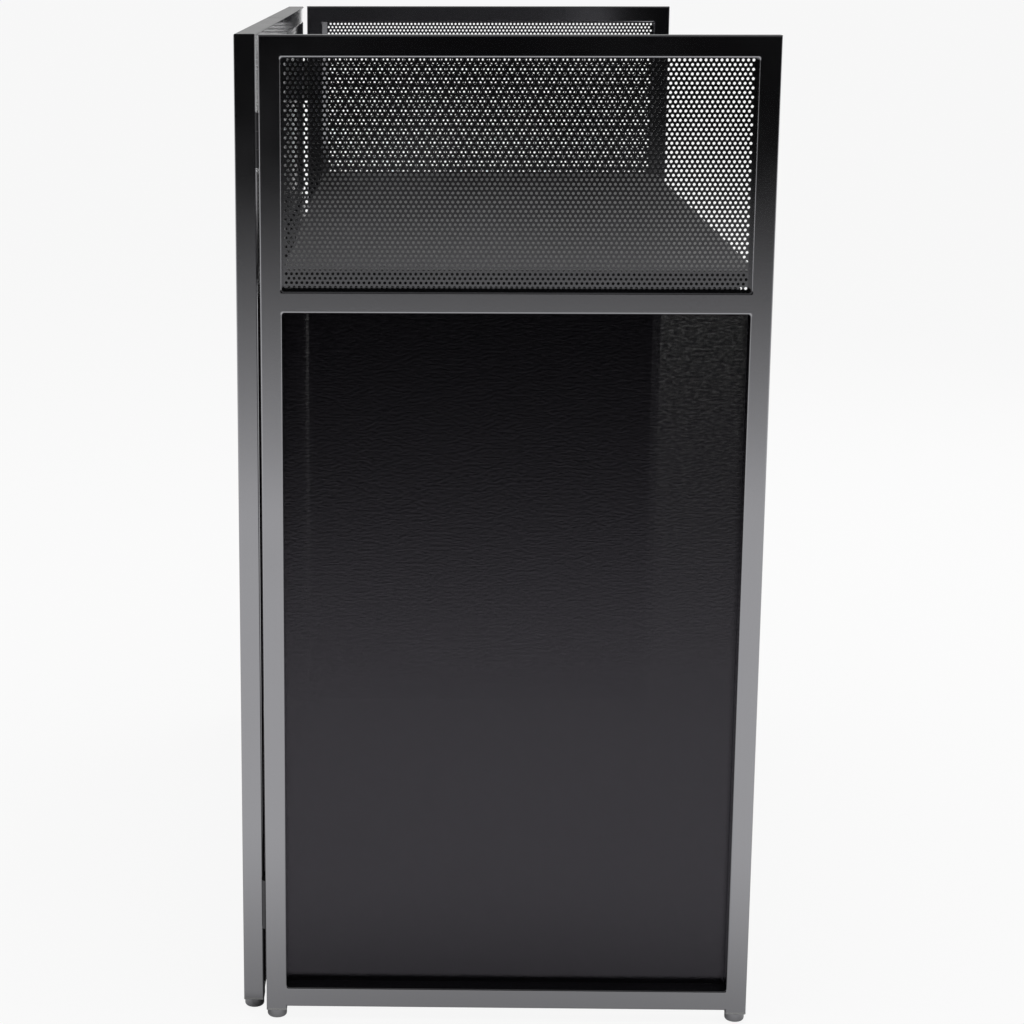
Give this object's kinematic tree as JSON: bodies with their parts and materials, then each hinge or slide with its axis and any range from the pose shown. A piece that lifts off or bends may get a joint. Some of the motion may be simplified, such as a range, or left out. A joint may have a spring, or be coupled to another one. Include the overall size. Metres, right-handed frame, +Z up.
{
  "type": "folding dj booth",
  "caption": "Folding stage booth of hinged square-tube frames with perforated sheet above and black scrim below, side wings, a lift-off table board and levelling feet.",
  "frame": {"origin": "on the floor, under the middle of the booth's bounding box", "axes": "+Z up, +X along the booth's width, -Y towards the audience, +Y towards the open user side"},
  "size_m": [1.29, 0.626, 1.195],
  "materials": {
    "frame_steel": "satin black powder coat on square steel tube",
    "perforated_steel": "satin black powder coat on perforated sheet",
    "hinge_steel": "black coated steel",
    "pin_steel": "drawn steel",
    "bearer_steel": "satin black powder coat",
    "scrim_cloth": "thin knitted stretch cloth, slightly see-through",
    "strip_nylon": "black hook-and-loop tape",
    "plug_plastic": "moulded black plastic",
    "foot_steel": "turned steel with a glossy black coat",
    "table_laminate": "satin black laminate on board"
  },
  "bodies": {
    "front_left": {"front_left_bottom_rail": "frame_steel", "front_left_centre_stile": "frame_steel", "front_left_hook_strips": "strip_nylon", "front_left_leg_plugs": "plug_plastic", "front_left_mid_rail": "frame_steel", "front_left_outer_stile": "frame_steel", "front_left_perforated_sheet": "perforated_steel", "front_left_scrim": "scrim_cloth", "front_left_top_rail": "frame_steel", "left_corner_hinge_front_leaves": "hinge_steel", "left_corner_hinge_pins": "pin_steel", "centre_hinge_left_leaves": "hinge_steel", "centre_hinge_pins": "pin_steel"},
    "wing_left": {"wing_left_bottom_rail": "frame_steel", "wing_left_front_stile": "frame_steel", "wing_left_hook_strips": "strip_nylon", "wing_left_leg_plugs": "plug_plastic", "wing_left_mid_rail": "frame_steel", "wing_left_perforated_sheet": "perforated_steel", "wing_left_rear_stile": "frame_steel", "wing_left_scrim": "scrim_cloth", "wing_left_top_rail": "frame_steel", "left_corner_hinge_wing_leaves": "hinge_steel"},
    "wing_right": {"wing_right_bottom_rail": "frame_steel", "wing_right_front_stile": "frame_steel", "wing_right_hook_strips": "strip_nylon", "wing_right_leg_plugs": "plug_plastic", "wing_right_mid_rail": "frame_steel", "wing_right_perforated_sheet": "perforated_steel", "wing_right_rear_stile": "frame_steel", "wing_right_scrim": "scrim_cloth", "wing_right_top_rail": "frame_steel", "right_corner_hinge_wing_leaves": "hinge_steel"},
    "front_right": {"front_right_bottom_rail": "frame_steel", "front_right_centre_stile": "frame_steel", "front_right_hook_strips": "strip_nylon", "front_right_leg_plugs": "plug_plastic", "front_right_mid_rail": "frame_steel", "front_right_outer_stile": "frame_steel", "front_right_perforated_sheet": "perforated_steel", "front_right_scrim": "scrim_cloth", "front_right_top_rail": "frame_steel", "centre_hinge_right_leaves": "hinge_steel", "right_corner_hinge_front_leaves": "hinge_steel", "right_corner_hinge_pins": "pin_steel"},
    "table": {"table_board": "table_laminate", "table_left_bearer": "bearer_steel", "table_right_bearer": "bearer_steel"},
    "wing_left_front_foot": {"wing_left_front_foot": "foot_steel"},
    "wing_left_rear_foot": {"wing_left_rear_foot": "foot_steel"},
    "wing_right_front_foot": {"wing_right_front_foot": "foot_steel"},
    "wing_right_rear_foot": {"wing_right_rear_foot": "foot_steel"},
    "front_left_centre_foot": {"front_left_centre_foot": "foot_steel"},
    "front_left_outer_foot": {"front_left_outer_foot": "foot_steel"},
    "front_right_centre_foot": {"front_right_centre_foot": "foot_steel"},
    "front_right_outer_foot": {"front_right_outer_foot": "foot_steel"}
  },
  "joints": [
    {"name": "centre_fold", "type": "hinge", "parent": "front_left", "child": "front_right", "pos_m": [0, -0.3095, 0], "axis": [0, 0, -1], "range_deg": [0, 180]},
    {"name": "left_wing_swing", "type": "hinge", "parent": "front_left", "child": "wing_left", "pos_m": [-0.6175, -0.2795, 0], "axis": [0, 0, 1], "range_deg": [0, 90]},
    {"name": "right_wing_swing", "type": "hinge", "parent": "front_right", "child": "wing_right", "pos_m": [0.6175, -0.2795, 0], "axis": [0, 0, -1], "range_deg": [0, 90]},
    {"name": "table_lift", "type": "slide", "parent": "front_left", "child": "table", "axis": [0, 0, 1], "range_m": [0, 0.25]},
    {"name": "wing_left_front_levelling", "type": "slide", "parent": "wing_left", "child": "wing_left_front_foot", "axis": [0, 0, -1], "range_m": [0, 0.008]},
    {"name": "wing_left_rear_levelling", "type": "slide", "parent": "wing_left", "child": "wing_left_rear_foot", "axis": [0, 0, -1], "range_m": [0, 0.008]},
    {"name": "wing_right_front_levelling", "type": "slide", "parent": "wing_right", "child": "wing_right_front_foot", "axis": [0, 0, -1], "range_m": [0, 0.008]},
    {"name": "wing_right_rear_levelling", "type": "slide", "parent": "wing_right", "child": "wing_right_rear_foot", "axis": [0, 0, -1], "range_m": [0, 0.008]},
    {"name": "front_left_centre_levelling", "type": "slide", "parent": "front_left", "child": "front_left_centre_foot", "axis": [0, 0, -1], "range_m": [0, 0.008]},
    {"name": "front_left_outer_levelling", "type": "slide", "parent": "front_left", "child": "front_left_outer_foot", "axis": [0, 0, -1], "range_m": [0, 0.008]},
    {"name": "front_right_centre_levelling", "type": "slide", "parent": "front_right", "child": "front_right_centre_foot", "axis": [0, 0, -1], "range_m": [0, 0.008]},
    {"name": "front_right_outer_levelling", "type": "slide", "parent": "front_right", "child": "front_right_outer_foot", "axis": [0, 0, -1], "range_m": [0, 0.008]}
  ]
}
